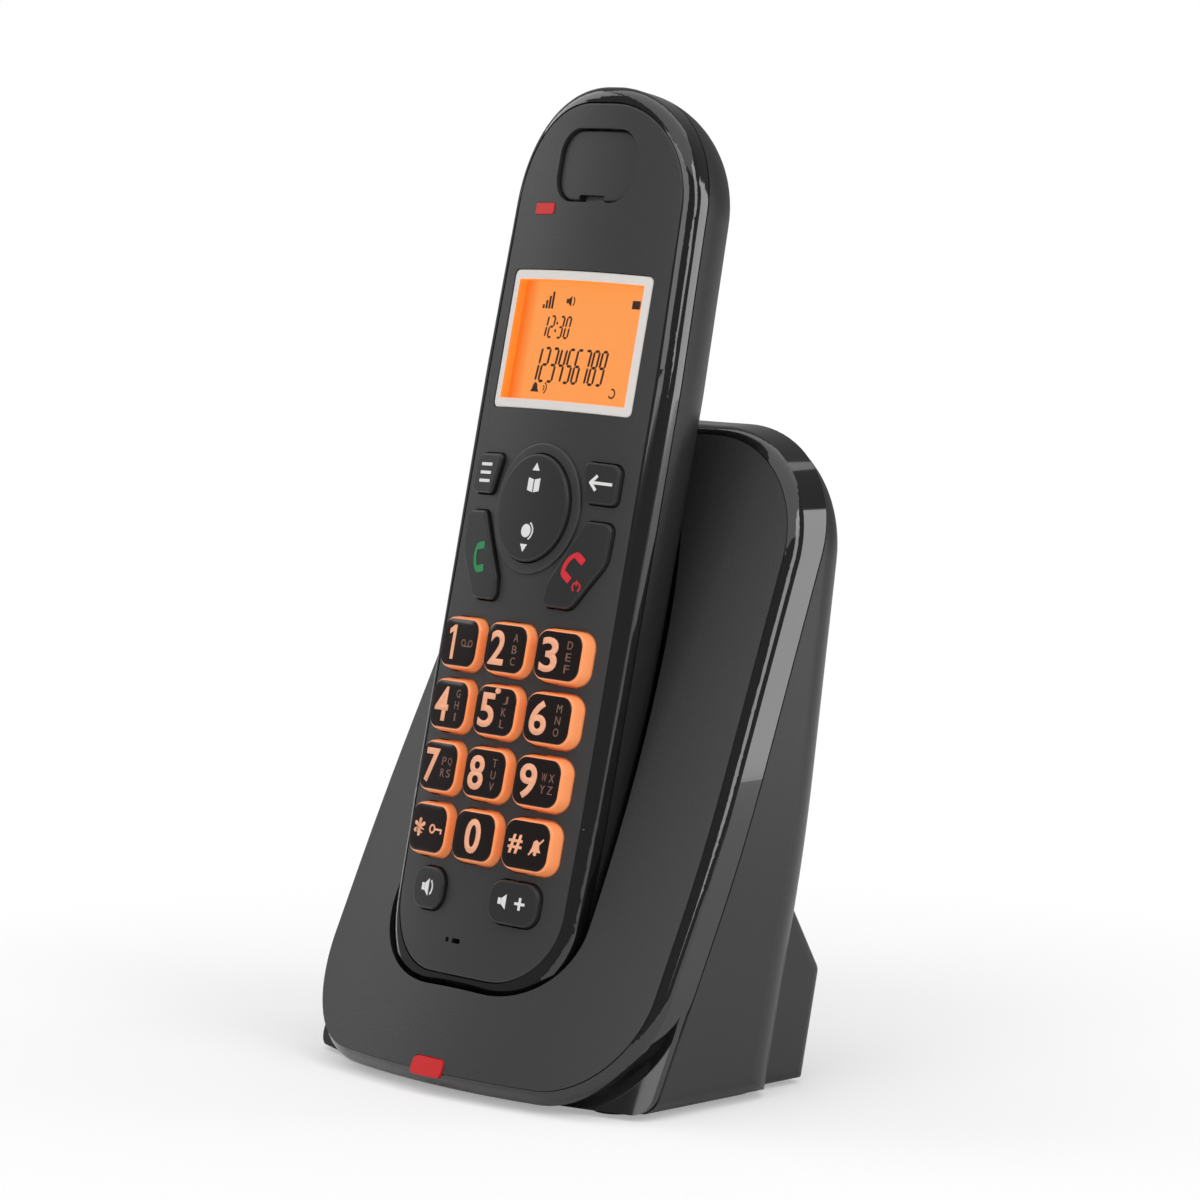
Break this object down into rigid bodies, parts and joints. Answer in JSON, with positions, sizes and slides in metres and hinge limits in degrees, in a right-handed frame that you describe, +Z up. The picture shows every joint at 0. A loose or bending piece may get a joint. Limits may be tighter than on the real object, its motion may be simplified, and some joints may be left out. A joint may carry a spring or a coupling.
{
  "type": "cordless phone with base",
  "caption": "Cordless telephone handset with a lit display and large keys, standing in a leaning desktop charging base.",
  "frame": {"origin": "on the table at the centre of the footprint", "axes": "+Z up, +X to the right seen from the front, the phone faces -Y"},
  "size_m": [0.088, 0.0706, 0.1758],
  "materials": {
    "matte_cover": "fine matte",
    "gloss_black": "polished",
    "satin_housing": "satin",
    "soft_key": "matte",
    "number_key": "translucent orange with black caps",
    "display_white": "satin",
    "display_clear": "clear",
    "display_orange": "lit orange",
    "light_red": "translucent red",
    "silicone": "matte",
    "board_green": "solder mask",
    "steel": "plated",
    "gold_plate": "plated",
    "foot_rubber": "matte",
    "cell_wrap": "printed sleeve",
    "grey_plastic": "satin"
  },
  "bodies": {
    "base": {"base_front_cover": "matte_cover", "base_trim_ring": "gloss_black", "base_rear_housing": "satin_housing", "base_bottom_plate": "satin_housing", "base_feet": "foot_rubber", "base_screws": "steel", "base_board": "board_green", "contact_carrier": "grey_plastic", "contact_spring_left": "steel", "contact_spring_right": "steel", "charge_light_guide": "light_red", "line_socket": "grey_plastic", "power_socket": "grey_plastic"},
    "handset": {"handset_front_cover": "matte_cover", "handset_bezel": "gloss_black", "handset_housing": "satin_housing", "charge_plates": "gold_plate", "keypad_mat": "silicone", "handset_board": "board_green", "handset_screws": "steel", "display_surround": "display_white", "display_window": "display_clear", "display_panel": "display_orange", "display_backlight": "display_orange", "earpiece_cap": "matte_cover", "receiver": "grey_plastic", "message_light_guide": "light_red", "microphone": "steel", "hands_free_loudspeaker": "grey_plastic", "battery_tray": "grey_plastic", "battery_cells": "cell_wrap", "battery_contacts": "steel"},
    "battery_door": {"battery_door": "satin_housing"},
    "page_key": {"page_key": "soft_key"},
    "contact_pin_left": {"contact_pin_left": "gold_plate"},
    "contact_pin_right": {"contact_pin_right": "gold_plate"},
    "key_1": {"key_1": "number_key"},
    "key_2": {"key_2": "number_key"},
    "key_3": {"key_3": "number_key"},
    "key_4": {"key_4": "number_key"},
    "key_5": {"key_5": "number_key"},
    "key_6": {"key_6": "number_key"},
    "key_7": {"key_7": "number_key"},
    "key_8": {"key_8": "number_key"},
    "key_9": {"key_9": "number_key"},
    "key_star": {"key_star": "number_key"},
    "key_0": {"key_0": "number_key"},
    "key_hash": {"key_hash": "number_key"},
    "key_menu_left": {"key_menu_left": "soft_key"},
    "key_menu_right": {"key_menu_right": "soft_key"},
    "key_call": {"key_call": "soft_key"},
    "key_end": {"key_end": "soft_key"},
    "key_loudspeaker": {"key_loudspeaker": "soft_key"},
    "key_volume": {"key_volume": "soft_key"},
    "key_navigation": {"key_navigation": "soft_key"}
  },
  "joints": [
    {"name": "handset_lift", "type": "slide", "parent": "base", "child": "handset", "axis": [0, 0.2284, 0.9736], "range_m": [0, 0.11]},
    {"name": "battery_door_slide", "type": "slide", "parent": "handset", "child": "battery_door", "axis": [0, -0.2284, -0.9736], "range_m": [0, 0.004]},
    {"name": "page_key_press", "type": "slide", "parent": "base", "child": "page_key", "axis": [0, -0.9736, 0.2284], "range_m": [0, 0.0005], "stiffness_N_per_m": 800, "springref_m": -0.0006},
    {"name": "contact_pin_left_press", "type": "slide", "parent": "base", "child": "contact_pin_left", "axis": [0, 0, -1], "range_m": [0, 0.0008], "stiffness_N_per_m": 400, "springref_m": -0.0006, "deforming": ["contact_spring_left"]},
    {"name": "contact_pin_right_press", "type": "slide", "parent": "base", "child": "contact_pin_right", "axis": [0, 0, -1], "range_m": [0, 0.0008], "stiffness_N_per_m": 400, "springref_m": -0.0006, "deforming": ["contact_spring_right"]},
    {"name": "key_1_press", "type": "slide", "parent": "handset", "child": "key_1", "axis": [0, 0.9736, -0.2284], "range_m": [0, 0.0006], "stiffness_N_per_m": 700, "springref_m": -0.0005},
    {"name": "key_2_press", "type": "slide", "parent": "handset", "child": "key_2", "axis": [0, 0.9736, -0.2284], "range_m": [0, 0.0006], "stiffness_N_per_m": 700, "springref_m": -0.0005},
    {"name": "key_3_press", "type": "slide", "parent": "handset", "child": "key_3", "axis": [0, 0.9736, -0.2284], "range_m": [0, 0.0006], "stiffness_N_per_m": 700, "springref_m": -0.0005},
    {"name": "key_4_press", "type": "slide", "parent": "handset", "child": "key_4", "axis": [0, 0.9736, -0.2284], "range_m": [0, 0.0006], "stiffness_N_per_m": 700, "springref_m": -0.0005},
    {"name": "key_5_press", "type": "slide", "parent": "handset", "child": "key_5", "axis": [0, 0.9736, -0.2284], "range_m": [0, 0.0006], "stiffness_N_per_m": 700, "springref_m": -0.0005},
    {"name": "key_6_press", "type": "slide", "parent": "handset", "child": "key_6", "axis": [0, 0.9736, -0.2284], "range_m": [0, 0.0006], "stiffness_N_per_m": 700, "springref_m": -0.0005},
    {"name": "key_7_press", "type": "slide", "parent": "handset", "child": "key_7", "axis": [0, 0.9736, -0.2284], "range_m": [0, 0.0006], "stiffness_N_per_m": 700, "springref_m": -0.0005},
    {"name": "key_8_press", "type": "slide", "parent": "handset", "child": "key_8", "axis": [0, 0.9736, -0.2284], "range_m": [0, 0.0006], "stiffness_N_per_m": 700, "springref_m": -0.0005},
    {"name": "key_9_press", "type": "slide", "parent": "handset", "child": "key_9", "axis": [0, 0.9736, -0.2284], "range_m": [0, 0.0006], "stiffness_N_per_m": 700, "springref_m": -0.0005},
    {"name": "key_star_press", "type": "slide", "parent": "handset", "child": "key_star", "axis": [0, 0.9736, -0.2284], "range_m": [0, 0.0006], "stiffness_N_per_m": 700, "springref_m": -0.0005},
    {"name": "key_0_press", "type": "slide", "parent": "handset", "child": "key_0", "axis": [0, 0.9736, -0.2284], "range_m": [0, 0.0006], "stiffness_N_per_m": 700, "springref_m": -0.0005},
    {"name": "key_hash_press", "type": "slide", "parent": "handset", "child": "key_hash", "axis": [0, 0.9736, -0.2284], "range_m": [0, 0.0006], "stiffness_N_per_m": 700, "springref_m": -0.0005},
    {"name": "key_menu_left_press", "type": "slide", "parent": "handset", "child": "key_menu_left", "axis": [0, 0.9736, -0.2284], "range_m": [0, 0.0006], "stiffness_N_per_m": 700, "springref_m": -0.0005},
    {"name": "key_menu_right_press", "type": "slide", "parent": "handset", "child": "key_menu_right", "axis": [0, 0.9736, -0.2284], "range_m": [0, 0.0006], "stiffness_N_per_m": 700, "springref_m": -0.0005},
    {"name": "key_call_press", "type": "slide", "parent": "handset", "child": "key_call", "axis": [0, 0.9736, -0.2284], "range_m": [0, 0.0006], "stiffness_N_per_m": 700, "springref_m": -0.0005},
    {"name": "key_end_press", "type": "slide", "parent": "handset", "child": "key_end", "axis": [0, 0.9736, -0.2284], "range_m": [0, 0.0006], "stiffness_N_per_m": 700, "springref_m": -0.0005},
    {"name": "key_loudspeaker_press", "type": "slide", "parent": "handset", "child": "key_loudspeaker", "axis": [0, 0.9736, -0.2284], "range_m": [0, 0.0006], "stiffness_N_per_m": 700, "springref_m": -0.0005},
    {"name": "key_volume_press", "type": "slide", "parent": "handset", "child": "key_volume", "axis": [0, 0.9736, -0.2284], "range_m": [0, 0.0006], "stiffness_N_per_m": 700, "springref_m": -0.0005},
    {"name": "key_navigation_rock", "type": "hinge", "parent": "handset", "child": "key_navigation", "pos_m": [0, -0.00366, 0.10052], "axis": [1, 0, 0], "range_deg": [-2, 2], "stiffness_Nm_per_rad": 0.05}
  ]
}
